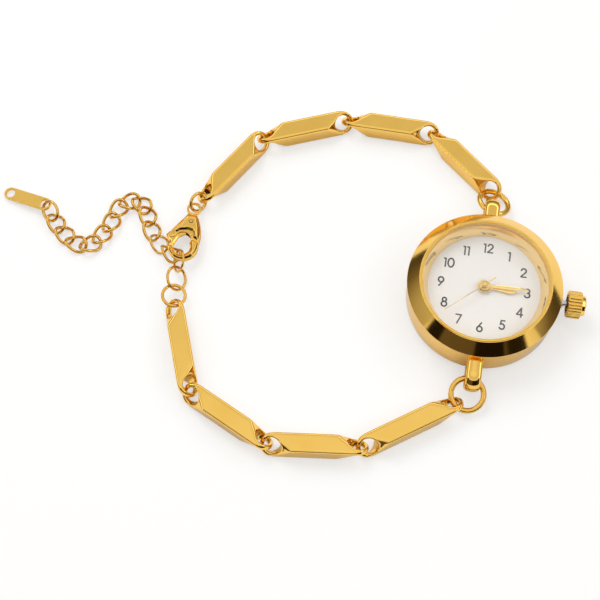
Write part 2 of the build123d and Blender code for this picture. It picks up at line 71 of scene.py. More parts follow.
class Signal:
    # one socket that can take part in sums
    def __init__(self, tree, socket):
        self.tree = tree
        self.socket = socket

    def sum(self, operation, first, second):
        node = self.tree.nodes.new("ShaderNodeMath")
        node.operation = operation
        join(self.tree, node.inputs[0], first)
        join(self.tree, node.inputs[1], second)
        return Signal(self.tree, node.outputs[0])

    def beside(self, output):
        # another output of the same node
        return Signal(self.tree, self.socket.node.outputs[output])

    def __add__(self, other):
        return self.sum("ADD", self, other)

    def __radd__(self, other):
        return self.sum("ADD", other, self)

    def __sub__(self, other):
        return self.sum("SUBTRACT", self, other)

    def __rsub__(self, other):
        return self.sum("SUBTRACT", other, self)

    def __mul__(self, other):
        return self.sum("MULTIPLY", self, other)

    def __rmul__(self, other):
        return self.sum("MULTIPLY", other, self)


def join(tree, socket, value):
    if isinstance(value, Signal):
        tree.links.new(value.socket, socket)
    else:
        socket.default_value = value


def rgba(red, green, blue):
    return (red, green, blue, 1.0)


class Finish:
    # a material or world and the nodes in it
    def __init__(self, owner):
        owner.use_nodes = True
        self.owner = owner
        self.tree = owner.node_tree

    def node(self, kind, settings=None, sockets=None, output=0):
        made = self.tree.nodes.new(kind)
        for key, value in (settings or {}).items():
            if key == "stops":
                ramp = made.color_ramp
                while len(ramp.elements) < len(value):
                    ramp.elements.new(0.5)
                for element, (place, colour) in zip(ramp.elements, value):
                    element.position = place
                    element.color = rgba(*colour)
            else:
                setattr(made, key, value)
        for key, value in (sockets or {}).items():
            join(self.tree, made.inputs[key], value)
        return Signal(self.tree, made.outputs[output])

    def set(self, **sockets):
        shader = self.tree.nodes["Principled BSDF"]
        for key, value in sockets.items():
            join(self.tree, shader.inputs[key.replace("_", " ")], value)

    def mix(self, factor, first, second):
        return self.node("ShaderNodeMix", {"data_type": "RGBA"}, {0: factor, 6: first, 7: second}, 2)

    def ramp(self, factor, stops):
        return self.node("ShaderNodeValToRGB", {"stops": stops}, {"Fac": factor})

    def noise(self, scale, detail=3.0, stretch=(1, 1, 1)):
        place = self.node("ShaderNodeTexCoord", output="Object")
        moved = self.node("ShaderNodeMapping", sockets={"Vector": place, "Scale": stretch})
        return self.node("ShaderNodeTexNoise", sockets={"Vector": moved, "Scale": scale, "Detail": detail})

    def bump(self, height, strength, distance):
        return self.node(
            "ShaderNodeBump", sockets={"Height": height, "Strength": strength, "Distance": distance}
        )


# Polished gold: broad clouds of colour and fine scratches

goldLook = {
    "bright": (0.97, 0.64, 0.17), "deep": (0.88, 0.54, 0.11), "roughLow": 0.06, "roughSpan": 0.06,
    "cloudScale": 260.0, "cloudDetail": 4.0, "cloudShare": 0.4,
    "scratchScale": 900.0, "scratchDetail": 2.0, "scratchStretch": (1, 9, 3), "scratchShare": 0.6,
    "bumpStrength": 0.05, "bumpDistance": 0.00002,
}
smallWire = {"bright": (0.90, 0.57, 0.15), "deep": (0.74, 0.42, 0.08), "roughLow": 0.10}


def polishedGold(name, **changes):
    look = {**goldLook, **changes}
    finish = Finish(bpy.data.materials.new(name))
    cloud = finish.noise(look["cloudScale"], look["cloudDetail"])
    scratch = finish.noise(look["scratchScale"], look["scratchDetail"], look["scratchStretch"])
    height = scratch * look["scratchShare"] + cloud * look["cloudShare"]
    finish.set(
        Base_Color=finish.mix(cloud, rgba(*look["bright"]), rgba(*look["deep"])), Metallic=1.0,
        Roughness=scratch * look["roughSpan"] + look["roughLow"],
        Normal=finish.bump(height, look["bumpStrength"], look["bumpDistance"]),
    )
    return finish.owner


# Plain materials: one pattern, a noise or a wave, moves colour, roughness and surface together

patternLook = {
    "brushedSteelBack": {
        "wave": {"wave_type": "RINGS", "rings_direction": "Z"},
        "sockets": {"Scale": 2400.0, "Distortion": 1.2, "Detail": 3.0, "Detail Scale": 2.0},
        "light": (0.62, 0.61, 0.60), "dark": (0.48, 0.47, 0.46), "metallic": 1.0,
        "roughLow": 0.24, "roughSpan": 0.14, "bump": 0.12, "bumpDistance": 0.00002,
    },
    "copperWinding": {
        "wave": {"wave_type": "BANDS", "bands_direction": "X"},
        "sockets": {"Scale": 2600.0, "Distortion": 0.4, "Detail": 1.0},
        "light": (0.62, 0.24, 0.10), "dark": (0.30, 0.09, 0.03), "metallic": 0.9,
        "roughLow": 0.25, "roughSpan": 0.2, "bump": 0.6, "bumpDistance": 0.00005,
    },
    "brightSteel": {
        "scale": 700.0, "light": (0.62, 0.62, 0.63), "dark": (0.50, 0.50, 0.51), "metallic": 1.0,
        "roughLow": 0.16, "roughSpan": 0.12, "bump": 0.08, "bumpDistance": 0.00003,
    },
    "turnedBrass": {
        "scale": 700.0, "stretch": (1, 8, 1), "light": (0.80, 0.56, 0.24), "dark": (0.66, 0.43, 0.16),
        "metallic": 1.0, "roughLow": 0.22, "roughSpan": 0.12, "bump": 0.08, "bumpDistance": 0.00003,
    },
    "blackSeal": {
        "scale": 1800.0, "light": (0.015, 0.015, 0.016), "dark": (0.05, 0.05, 0.05),
        "roughLow": 0.55, "roughSpan": 0.2, "bump": 0.2, "bumpDistance": 0.00003,
    },
    "whiteNylon": {
        "scale": 900.0, "light": (0.74, 0.73, 0.70), "dark": (0.66, 0.65, 0.62),
        "roughLow": 0.4, "roughSpan": 0.2, "bump": 0.1, "bumpDistance": 0.00003,
    },
    "dialInk": {
        "scale": 3200.0, "light": (0.060, 0.050, 0.045), "dark": (0.10, 0.085, 0.075),
        "roughLow": 0.45, "roughSpan": 0.2,
    },
}


def patterned(name):
    look = patternLook[name]
    finish = Finish(bpy.data.materials.new(name))
    if "wave" in look:
        place = finish.node("ShaderNodeTexCoord", output="Object")
        pattern = finish.node("ShaderNodeTexWave", look["wave"], {"Vector": place, **look["sockets"]}, "Fac")
    else:
        pattern = finish.noise(look["scale"], stretch=look.get("stretch", (1, 1, 1)))
    finish.set(
        Base_Color=finish.mix(pattern, rgba(*look["light"]), rgba(*look["dark"])),
        Metallic=look.get("metallic", 0.0), Roughness=pattern * look["roughSpan"] + look["roughLow"],
    )
    if "bump" in look:
        finish.set(Normal=finish.bump(pattern, look["bump"], look["bumpDistance"]))
    return finish.owner


dialPaint = {
    "light": (0.79, 0.775, 0.77), "dark": (0.75, 0.735, 0.725), "cloudScale": 120.0, "cloudDetail": 2.0,
    "grainScale": 2600.0, "grainDetail": 4.0, "roughLow": 0.42, "roughSpan": 0.15, "gloss": 0.35,
    "bump": 0.06, "bumpDistance": 0.00002,
}


def paintedDial(name):
    look = dialPaint
    finish = Finish(bpy.data.materials.new(name))
    grain = finish.noise(look["grainScale"], look["grainDetail"])
    cloud = finish.noise(look["cloudScale"], look["cloudDetail"])
    finish.set(
        Base_Color=finish.mix(cloud, rgba(*look["light"]), rgba(*look["dark"])),
        Roughness=grain * look["roughSpan"] + look["roughLow"], Specular_IOR_Level=look["gloss"],
        Normal=finish.bump(grain, look["bump"], look["bumpDistance"]),
    )
    return finish.owner


crystalGlass = {
    "light": (0.97, 0.98, 0.98), "dark": (0.93, 0.95, 0.95), "smearScale": 90.0, "smearDetail": 2.0,
    "roughLow": 0.01, "roughSpan": 0.04, "alphaLow": 0.045, "alphaSpan": 0.02, "bending": 1.5,
}


def clearCrystal(name):
    # a thin clear disc: nearly see-through, with its gloss left on
    look = crystalGlass
    finish = Finish(bpy.data.materials.new(name))
    smear = finish.noise(look["smearScale"], look["smearDetail"])
    finish.set(
        Base_Color=finish.mix(smear, rgba(*look["light"]), rgba(*look["dark"])),
        Roughness=smear * look["roughSpan"] + look["roughLow"],
        Alpha=smear * look["alphaSpan"] + look["alphaLow"], IOR=look["bending"],
    )
    return finish.owner


finishes = {
    "case_gold": polishedGold("caseGold"),
    "bar_gold": polishedGold("barGold"),
    "chain_gold": polishedGold("chainGold", **smallWire),
    "ring_gold": polishedGold("ringGold", bright=(0.93, 0.60, 0.16), deep=(0.80, 0.47, 0.09), roughLow=0.08),
    "small_ring_gold": polishedGold("smallRingGold", **smallWire),
    "clasp_gold": polishedGold("claspGold", bright=(0.95, 0.62, 0.17), deep=(0.84, 0.5, 0.1), roughLow=0.09),
    "tag_gold": polishedGold("tagGold"),
    "crown_gold": polishedGold("crownGold"),
    "hand_gold": polishedGold("handGold", bright=(1.0, 0.77, 0.27), deep=(0.95, 0.68, 0.19), roughLow=0.11),
    "inner_ring": polishedGold(
        "innerRingGold", bright=(1.0, 0.74, 0.33), deep=(0.95, 0.66, 0.25), roughLow=0.08
    ),
    "steel_back": patterned("brushedSteelBack"),
    "steel": patterned("brightSteel"),
    "brass": patterned("turnedBrass"),
    "gasket": patterned("blackSeal"),
    "crystal": clearCrystal("clearCrystal"),
    "dial_white": paintedDial("satinDial"),
    "copper_coil": patterned("copperWinding"),
    "holder": patterned("whiteNylon"),
}
ink = patterned("dialInk")
print("finishes made:", len(finishes) + 1)


# Pieces and the CAD nodes that they stand for

# degrees between faces from which an edge stays crisp
crispFrom = {"turned": 40, "hand": 35, "softened": 32, "crown": 50}


def dress(piece, finish):
    piece.data.materials.clear()
    piece.data.materials.append(finish)


def placed(name, data):
    made = bpy.data.objects.new(name, data)
    bpy.context.scene.collection.objects.link(made)
    return made


def addPiece(name, mesh, smoothAngle=None):
    piece = placed(name, mesh)
    for face in mesh.polygons:
        face.use_smooth = True
    if smoothAngle is not None:
        mesh.set_sharp_from_angle(angle=math.radians(smoothAngle))
    return piece


def stand(piece, *replaced):
    # the piece takes the place, the body and the finish of CAD nodes
    dress(piece, finishes[slotOf[replaced[0]]])
    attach(piece, bodyOf[replaced[0]])
    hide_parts(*replaced)


for nodeName, node in nodes.items():
    dress(node, finishes[slotOf[nodeName]])


# Mesh helpers: outlines are radii and heights in millimetres, with rounded corners

weldReach = 1e-7


def roundedOutline(points, steps=4):
    # each point is (radius, height) or (radius, height, corner radius)
    line = []
    count = len(points)
    for k, point in enumerate(points):
        here = Vector(point[:2])
        soft = point[2] if len(point) > 2 else 0.0
        if soft <= 0:
            line.append(here)
            continue
        before = (Vector(points[k - 1][:2]) - here).normalized() * soft
        after = (Vector(points[(k + 1) % count][:2]) - here).normalized() * soft
        for step in range(steps + 1):
            share = step / steps
            line.append(here + before * (1 - share) ** 2 + after * share ** 2)
    return line


def spin(shape, outline, segments):
    # one row of vertices for each step of the outline about the Z axis
    rows = []
    for k in range(segments):
        angle = fullTurn * k / segments
        rows.append([
            shape.verts.new((p.x * mm * math.cos(angle), p.x * mm * math.sin(angle), p.y * mm))
            for p in outline
        ])
    return rows


def skin(shape, rows, closedRow=True, closedLoop=False):
    # faces between neighbouring rows; the ends of a row, and the last row and the first, can meet
    count = len(rows[0])
    for k in range(len(rows) if closedLoop else len(rows) - 1):
        row, nextRow = rows[k], rows[(k + 1) % len(rows)]
        for j in range(count if closedRow else count - 1):
            after = (j + 1) % count
            shape.faces.new((row[j], row[after], nextRow[after], nextRow[j]))


def meshOf(shape, name):
    mesh = bpy.data.meshes.new(name)
    shape.to_mesh(mesh)
    shape.free()
    return mesh


def closedMesh(shape, name, weld=None):
    # close points are joined where asked, and the faces are turned outwards
    if weld:
        bmesh.ops.remove_doubles(shape, verts=shape.verts, dist=weld)
    bmesh.ops.recalc_face_normals(shape, faces=shape.faces)
    return meshOf(shape, name)


def lathe(name, outline, segments):
    shape = bmesh.new()
    skin(shape, spin(shape, outline, segments), closedLoop=True)
    return addPiece(name, closedMesh(shape, name, weldReach), crispFrom["turned"])


def radiusOf(nodeName):
    low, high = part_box(nodeName)
    return (high.x - low.x) / 2 / mm


def heightsOf(nodeName):
    low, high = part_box(nodeName)
    return low.z / mm, high.z / mm


# Head: bezel, crystal, sloping inner ring, dial and back, all turned

headLook = {
    "lipOver": 0.23, "lipWide": 0.45, "lipFlat": 0.36, "lipThick": 0.95, "lipDrop": 0.192, "edgeHigh": 0.32,
    "footIn": 0.05, "gasketWide": 0.24, "sightWide": 0.95, "sightTop": 0.12, "dialBore": 0.7,
    "ringSides": 240, "plateSides": 200, "crystalSides": 160,
}
backLook = {
    "bevelWide": 1.0, "bevelHigh": 0.45, "shoulder": 1.3, "pressFrom": 1.35, "pressIn": 0.36, "wallIn": 0.9,
    "plateTop": 0.8,
}


def makeHead():
    look = headLook
    foot, top = heightsOf("bezel")
    outer = radiusOf("bezel")
    low, high = heightsOf("crystal")
    wide = radiusOf("crystal")
    inner = wide + look["gasketWide"]
    lip = inner - look["lipOver"]
    stand(lathe("bezelRing", roundedOutline([
        (inner, foot), (outer - look["footIn"], foot, 0.04), (outer, foot + look["edgeHigh"], 0.05),
        (lip + look["lipWide"], top - look["lipDrop"], 0.03), (lip + look["lipFlat"], top, 0.09),
        (lip, top, 0.07), (lip, top - look["lipThick"], 0.04), (inner, top - look["lipThick"]),
    ]), look["ringSides"]), "bezel")
    stand(lathe("crystalDisc", roundedOutline([
        (0, low), (wide, low, 0.04), (wide, high, 0.16), (0, high),
    ]), look["crystalSides"]), "crystal")
    low, high = heightsOf("dial_ring")
    outer = radiusOf("dial_ring")
    stand(lathe("slopedInnerRing", roundedOutline([
        (outer - look["sightWide"], low, 0.03), (outer, low), (outer, high),
        (outer - look["sightTop"], high, 0.06),
    ]), look["ringSides"]), "dial_ring")
    low, high = heightsOf("dial")
    bore, wide = look["dialBore"], radiusOf("dial")
    stand(lathe("dialPlate", roundedOutline([
        (bore, low), (wide, low, 0.02), (wide, high, 0.03), (bore, high, 0.03),
    ]), look["plateSides"]), "dial")


def makeBack():
    look = backLook
    low, high = heightsOf("case_back")
    wide = radiusOf("case_back")
    pressed, inside = wide - look["pressIn"], wide - look["wallIn"]
    stand(lathe("pressedBack", roundedOutline([
        (0, low), (wide - look["bevelWide"], low, 0.2), (wide, low + look["bevelHigh"], 0.15),
        (wide, low + look["shoulder"], 0.05), (pressed, low + look["pressFrom"]), (pressed, high, 0.05),
        (inside, high, 0.05), (inside, look["plateTop"], 0.1), (0, look["plateTop"]),
    ]), headLook["plateSides"]), "case_back")


makeHead()
makeBack()
print("watch head turned")


# Case middle: a turned band with a rounded loop lug at each end

caseLook = {
    "radius": 10.75, "bore": 9.05, "bandSides": 240, "lugWide": 2.15, "lugThick": 0.90, "lugHole": 1.29,
    "lugHeight": 2.65, "lugRoot": 0.7, "lugStops": 28, "lugSides": 24,
}


def makeCase():
    look = caseLook
    low, high = heightsOf("case_middle")
    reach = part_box("case_middle")[1].y / mm
    stand(lathe("caseBand", roundedOutline([
        (look["bore"], low), (look["radius"], low, 0.25), (look["radius"], high, 0.06), (look["bore"], high),
    ]), look["bandSides"]), "case_middle")
    middle = look["lugHole"] + look["lugThick"] / 2
    centre = reach - look["lugHole"] - look["lugThick"]
    root = look["radius"] - look["lugRoot"]
    line = [(root, -middle, 0.0)]
    for k in range(look["lugStops"] + 1):
        turn = math.pi * k / look["lugStops"]
        line.append((centre + middle * math.sin(turn), -middle * math.cos(turn), turn))
    line.append((root, middle, math.pi))
    for name, side in (("lugTwelve", 1), ("lugSix", -1)):
        shape = bmesh.new()
        rows = []
        for y, z, turn in line:
            row = []
            for j in range(look["lugSides"]):
                angle = fullTurn * j / look["lugSides"]
                away = math.sin(angle) * look["lugThick"] / 2
                row.append(shape.verts.new((
                    math.cos(angle) * look["lugWide"] / 2 * mm, side * (y + away * math.sin(turn)) * mm,
                    (look["lugHeight"] + z - away * math.cos(turn)) * mm,
                )))
            rows.append(row)
        skin(shape, rows)
        stand(addPiece(name, closedMesh(shape, name)), "case_middle")


makeCase()
print("case made")


# Numbers printed on the dial: each figure is drawn with flat strokes in a box one unit high

numberLook = {
    "radius": 6.15, "height": 1.36, "stroke": 0.235, "thick": 0.012, "gap": 0.22, "steps": 18, "dabSides": 12,
    "widths": {
        "0": 0.62, "1": 0.20, "2": 0.54, "3": 0.54, "4": 0.60, "5": 0.54, "6": 0.58, "7": 0.54, "8": 0.56,
        "9": 0.58,
    },
}


def arc(x, y, wide, high, start, end):
    # points of an elliptic arc, angles in degrees
    steps = numberLook["steps"]
    angles = [math.radians(start + (end - start) * k / steps) for k in range(steps + 1)]
    return [(x + wide * math.cos(angle), y + high * math.sin(angle)) for angle in angles]


figureStrokes = {
    "0": [arc(0.31, 0.5, 0.31, 0.5, 0, 360)],
    "1": [[(0.0, 0.93), (0.17, 0.93), (0.17, 0.0)]],
    "2": [arc(0.27, 0.72, 0.25, 0.26, 170, -35) + [(0.02, 0.03), (0.54, 0.03)]],
    "3": [arc(0.25, 0.75, 0.22, 0.23, 150, -80), arc(0.25, 0.27, 0.27, 0.26, 80, -160)],
    "4": [[(0.45, 0.0), (0.45, 1.0), (0.0, 0.27), (0.60, 0.27)]],
    "5": [[(0.50, 0.97), (0.15, 0.97), (0.09, 0.55)] + arc(0.24, 0.32, 0.27, 0.30, 125, -150)],
    "6": [arc(0.29, 0.30, 0.27, 0.29, 0, 360), [(0.44, 1.0), (0.05, 0.42)]],
    "7": [[(0.0, 0.96), (0.53, 0.96), (0.16, 0.0)]],
    "8": [arc(0.28, 0.76, 0.21, 0.22, 0, 360), arc(0.28, 0.27, 0.27, 0.27, 0, 360)],
    "9": [arc(0.29, 0.70, 0.27, 0.29, 0, 360), [(0.14, 0.0), (0.53, 0.58)]],
}


def addStroke(shape, points, half, low, high):
    # a flat ribbon along the points, with a box for each stretch and a round dab on each point
    dabAngles = [fullTurn * j / numberLook["dabSides"] for j in range(numberLook["dabSides"])]
    for k, (x, y) in enumerate(points):
        outlines = [[(x + half * math.cos(angle), y + half * math.sin(angle)) for angle in dabAngles]]
        if k + 1 < len(points):
            nextX, nextY = points[k + 1]
            long = math.hypot(nextX - x, nextY - y)
            if long > 0:
                asideX, asideY = -(nextY - y) / long * half, (nextX - x) / long * half
                outlines.append([
                    (x + asideX, y + asideY), (x - asideX, y - asideY),
                    (nextX - asideX, nextY - asideY), (nextX + asideX, nextY + asideY),
                ])
        for outline in outlines:
            top = [shape.verts.new((px, py, high)) for px, py in outline]
            foot = [shape.verts.new((px, py, low)) for px, py in outline]
            shape.faces.new(top)
            for j in range(len(outline)):
                after = (j + 1) % len(outline)
                shape.faces.new((top[j], foot[j], foot[after], top[after]))


def makeNumbers():
    look = numberLook
    dialTop = heightsOf("dial")[1] * mm
    shape = bmesh.new()
    size = look["height"] * mm
    half = look["stroke"] / 2 * mm
    for hour in range(1, 13):
        angle = math.radians(90 - 30 * hour)
        figures = str(hour)
        wide = sum(look["widths"][figure] for figure in figures) + look["gap"] * (len(figures) - 1)
        left = look["radius"] * mm * math.cos(angle) - wide * size / 2
        foot = look["radius"] * mm * math.sin(angle) - size / 2
        for figure in figures:
            for stroke in figureStrokes[figure]:
                points = [(left + x * size, foot + y * size) for x, y in stroke]
                addStroke(shape, points, half, dialTop, dialTop + look["thick"] * mm)
            left += (look["widths"][figure] + look["gap"]) * size
    piece = placed("dialNumbers", closedMesh(shape, "dialNumbers"))
    dress(piece, ink)
    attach(piece, "head")


makeNumbers()
print("dial numbered")


# Hands: leaf shapes with a raised middle line, on round hubs with a sunk ring

handLook = {
    "hour_hand": {
        "turn": -93.0, "length": 4.6, "tail": 0.0, "wide": 0.78, "waist": 0.34, "belly": 0.74, "hub": 0.95,
    },
    "minute_hand": {
        "turn": -88.0, "length": 6.7, "tail": 0.0, "wide": 0.52, "waist": 0.40, "belly": 0.5, "hub": 0.78,
    },
    "second_hand": {"turn": -228.0, "length": 6.9, "tail": 1.9, "wide": 0.15, "waist": 0.15, "hub": 0.42},
}
leafLook = {
    "stations": 24, "taper": 0.45, "bellyCurve": 1.5, "tipCurve": 2.2, "tipLeast": 0.04, "edge": 0.35,
    "ridge": 0.5,
}
# shares of the hub's radius, and heights in millimetres
hubLook = {
    "ringOuter": 0.84, "grooveOuter": 0.80, "grooveInner": 0.66, "buttonOuter": 0.62, "ringRise": 0.03,
    "grooveFloor": 0.02, "segments": 48,
}
capLook = {"radius": 0.3, "sunk": 0.2, "edgeRise": 0.02, "topRise": 0.05, "segments": 48}


def leafHalf(look, share):
    # half the width: a plain taper where waist and width are the same, otherwise a belly and a point
    if look["waist"] == look["wide"]:
        return look["wide"] / 2 * (1 - leafLook["taper"] * share)
    toBelly = min(share / look["belly"], 1.0)
    half = (look["waist"] + (look["wide"] - look["waist"]) * toBelly ** leafLook["bellyCurve"]) / 2
    if share > look["belly"]:
        pastBelly = (share - look["belly"]) / (1 - look["belly"])
        half *= max(1 - pastBelly ** leafLook["tipCurve"], leafLook["tipLeast"])
    return half


def makeHand(nodeName, look):
    low, high = heightsOf(nodeName)
    edge = low + (high - low) * leafLook["edge"]
    ridge = edge + (high - low) * leafLook["ridge"]
    shape = bmesh.new()
    rows = []
    for k in range(leafLook["stations"] + 1):
        share = k / leafLook["stations"]
        along = -look["tail"] + (look["length"] + look["tail"]) * share
        half = leafHalf(look, share)
        rows.append([
            shape.verts.new((along * mm, aside * mm, height * mm))
            for aside, height in ((-half, edge), (0, ridge), (half, edge), (half, low), (-half, low))
        ])
    skin(shape, rows)
    shape.faces.new(rows[0])
    shape.faces.new(rows[-1])
    hub = look["hub"]
    ringTop, grooveFloor = high + hubLook["ringRise"], low + hubLook["grooveFloor"]
    hubOutline = roundedOutline([
        (0.0, low), (hub, low, 0.02), (hub, ringTop, 0.06), (hub * hubLook["ringOuter"], ringTop, 0.03),
        (hub * hubLook["grooveOuter"], grooveFloor, 0.01), (hub * hubLook["grooveInner"], grooveFloor, 0.01),
        (hub * hubLook["buttonOuter"], high, 0.03), (0.0, high),
    ])
    skin(shape, spin(shape, hubOutline, hubLook["segments"]), closedRow=False, closedLoop=True)
    mesh = closedMesh(shape, nodeName + "Leaf", weldReach)
    mesh.transform(Matrix.Rotation(math.radians(90 + look["turn"]), 4, "Z"))
    stand(addPiece(nodeName.replace("_hand", "") + "HandLeaf", mesh, crispFrom["hand"]), nodeName)


def makeCap():
    look = capLook
    top = heightsOf("second_arbor")[1]
    cap = lathe("secondHandCap", roundedOutline([
        (0, top - look["sunk"]), (look["radius"], top - look["sunk"], 0.03),
        (look["radius"], top + look["edgeRise"], 0.1), (0, top + look["topRise"]),
    ]), look["segments"])
    dress(cap, finishes["hand_gold"])
    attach(cap, "second_hand")


for nodeName, look in handLook.items():
    makeHand(nodeName, look)
makeCap()
print("hands made")


# Wire rings and links: smooth loops on the centre lines of the faceted ones

# worn is the share of the solid's thickness that is left where moving wires would otherwise touch
wireLook = {
    "ring_twelve": {"wire": 0.8}, "ring_six": {"wire": 0.8}, "clasp_ring": {"wire": 0.5},
    "end_ring": {"wire": 0.48}, "join_ring": {"wire": 0.42}, "hooked_ring": {"wire": 0.42, "worn": 0.84},
}
chainLook = {
    "wire": 0.46, "reach": 1.57, "breadth": 1.15, "lift": 0.5, "jumpReach": 1.5, "jumpBreadth": 1.38,
    "worn": {13: 0.84, 14: 0.90}, "links": 14,
}
# the seam is where the two ends of a wire meet, as a share of the way round
sweepLook = {"steps": 84, "sides": 16, "pinch": 0.16, "ringSeam": 0.37, "linkSeam": 0.13}
axisSearch = {"passes": 400, "longStart": (0.61, 0.52, 0.33), "shortStart": (0.21, 0.37, 0.9)}


def cornersOf(nodeName):
    places = {tuple(round(c, 8) for c in v.co) for v in nodes[nodeName].data.vertices}
    return [Vector(p) for p in places]


def strongest(matrix, start):
    # repeated products turn any start towards the axis that the matrix stretches most
    axis = Vector(start).normalized()
    for _ in range(axisSearch["passes"]):
        axis = (matrix @ axis).normalized()
    return axis


def principalFrame(points):
    # middle and own axes of a loop, longest spread first; the shortest comes from the inverse
    middle = sum(points, Vector()) / len(points)
    spread = [[sum((p - middle)[a] * (p - middle)[b] for p in points) for b in range(3)] for a in range(3)]
    matrix = Matrix(spread)
    matrix = matrix * (1.0 / max(abs(matrix[a][a]) for a in range(3)))
    longest = strongest(matrix, axisSearch["longStart"])
    shortest = strongest(matrix.inverted(), axisSearch["shortStart"])
    shortest = (shortest - longest * shortest.dot(longest)).normalized()
    if shortest.z < 0:
        shortest = -shortest
    return middle, longest, shortest.cross(longest), shortest


def sweepLoop(name, line, wire, seamAt):
    # a round tube along a closed line, pinched a little at its seam
    shape = bmesh.new()
    count = len(line)
    sides = sweepLook["sides"]
    middle = sum(line, Vector()) / count
    rows = []
    for k in range(count):
        along = (line[(k + 1) % count] - line[k - 1]).normalized()
        out = line[k] - middle
        out = (out - along * out.dot(along)).normalized()
        up = along.cross(out)
        away = abs(k / count - seamAt) * count
        thin = 1 - sweepLook["pinch"] * max(0.0, 1 - away)
        rows.append([
            shape.verts.new(
                line[k] + (out * math.cos(fullTurn * j / sides) + up * math.sin(fullTurn * j / sides))
                * wire / 2 * mm * thin
            )
            for j in range(sides)
        ])
    skin(shape, rows, closedLoop=True)
    return addPiece(name, closedMesh(shape, name))


def makeRing(nodeName, look):
    points = cornersOf(nodeName)
    middle, longest, across, _ = principalFrame(points)
    reaches = [math.hypot((p - middle).dot(longest), (p - middle).dot(across)) for p in points]
    radius = max(reaches) - look["wire"] / 2 * mm
    angles = [fullTurn * k / sweepLook["steps"] for k in range(sweepLook["steps"])]
    line = [
        middle + longest * radius * math.cos(angle) + across * radius * math.sin(angle) for angle in angles
    ]
    name = nodeName.replace("_", "") + "Wire"
    stand(sweepLoop(name, line, look["wire"] * look.get("worn", 1.0), sweepLook["ringSeam"]), nodeName)


def makeLink(number):
    # the first link is the plain jump ring at the tag, the others are twisted ovals
    nodeName = f"chain_link_{number}"
    look = chainLook
    middle, longest, across, normal = principalFrame(cornersOf(nodeName))
    plain = number == 1
    reach = look["jumpReach" if plain else "reach"]
    breadth = look["jumpBreadth" if plain else "breadth"]
    lift = 0.0 if plain else look["lift"]
    line = []
    for k in range(sweepLook["steps"]):
        angle = fullTurn * k / sweepLook["steps"]
        line.append(
            middle + longest * reach * mm * math.cos(angle) + across * breadth * mm * math.sin(angle)
            + normal * lift * mm * math.sin(2 * angle)
        )
    wire = look["wire"] * look["worn"].get(number, 1.0)
    stand(sweepLoop(f"chainLink{number}Wire", line, wire, sweepLook["linkSeam"]), nodeName)


for nodeName, look in wireLook.items():
    makeRing(nodeName, look)
for number in range(1, chainLook["links"] + 1):
    makeLink(number)
print("wire rings and chain links swept")


# Tag and clasp pin: copies of the solids with softened edges

softLook = {
    "tag": {"name": "tagSoft", "width": 0.10, "segments": 3},
    "clasp_pin": {"name": "claspPinSoft", "width": 0.04, "segments": 2},
}
# metres between points that are one, and degrees between faces
softLimits = {"weld": 2e-6, "flatWithin": 1.5, "bevelFrom": 22}


def softCopy(nodeName, look):
    shape = bmesh.new()
    shape.from_mesh(nodes[nodeName].data)
    bmesh.ops.remove_doubles(shape, verts=shape.verts, dist=softLimits["weld"])
    bmesh.ops.dissolve_limit(
        shape, angle_limit=math.radians(softLimits["flatWithin"]), verts=shape.verts, edges=shape.edges
    )
    piece = addPiece(look["name"], closedMesh(shape, look["name"]), crispFrom["softened"])
    bevel = piece.modifiers.new("softEdges", "BEVEL")
    bevel.width = look["width"] * mm
    bevel.segments = look["segments"]
    bevel.limit_method = "ANGLE"
    bevel.angle_limit = math.radians(softLimits["bevelFrom"])
    bevel.harden_normals = True
    bevel.use_clamp_overlap = True
    weighted = piece.modifiers.new("evenShading", "WEIGHTED_NORMAL")
    weighted.keep_sharp = True
    stand(piece, nodeName)


for nodeName, look in softLook.items():
    softCopy(nodeName, look)
print("tag and pin softened")


# Crown: a fluted barrel with a smooth button on its outer end

crownLook = {
    "flutes": 24, "samples": 9, "depth": 0.17, "grooveCurve": 0.8,
    # share of the length, share of the radius, and how deep the flutes are there
    "stations": [
        (0.0, 0.70, 0), (0.0, 0.93, 0), (0.035, 0.985, 0.4), (0.08, 1.0, 1), (0.70, 1.0, 1),
        (0.745, 0.985, 0.5), (0.77, 0.93, 0), (0.775, 0.76, 0), (0.79, 0.745, 0), (0.93, 0.735, 0),
        (0.985, 0.68, 0), (1.0, 0.60, 0), (0.995, 0.50, 0), (1.0, 0.30, 0), (1.0, 0.0, 0),
    ],
}


def makeCrown():
    look = crownLook
    low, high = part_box("crown")
    radius = (high.y - low.y) / 2
    shape = bmesh.new()
    sides = look["flutes"] * look["samples"]
    rows = []
    for share, reach, fluted in look["stations"]:
        row = []
        for j in range(sides):
            angle = fullTurn * j / sides
            groove = max(0.0, math.cos(look["flutes"] * angle)) ** look["grooveCurve"]
            away = radius * reach - look["depth"] * mm * groove * fluted
            row.append(shape.verts.new((
                low.x + (high.x - low.x) * share, (low.y + high.y) / 2 + away * math.cos(angle),
                (low.z + high.z) / 2 + away * math.sin(angle),
            )))
        rows.append(row)
    skin(shape, rows)
    mesh = closedMesh(shape, "crownFluted", weldReach)
    stand(addPiece("crownFluted", mesh, crispFrom["crown"]), "crown")


makeCrown()
print("crown fluted")


# Bars and clasp: polished castings have no crisp edge, so the solids are remeshed and smoothed

barLook = {"bars": 8, "voxel": 0.085, "passes": 34, "swell": 0.07}
claspLook = {
    "clasp_body": {
        "name": "claspBodyCast", "voxel": 0.065, "leastShare": 0.42, "passes": 12, "swell": -0.06,
    },
    "clasp_lever": {
        "name": "claspLeverCast", "voxel": 0.055, "leastShare": 0.30, "passes": 12, "swell": -0.05,
    },
}
# the dome rises to its full height over this reach, in from the outline of the clasp
domeLook = {"reach": 1.35, "pinGap": 0.15, "wallSlope": 0.3}
castFactor = 0.5


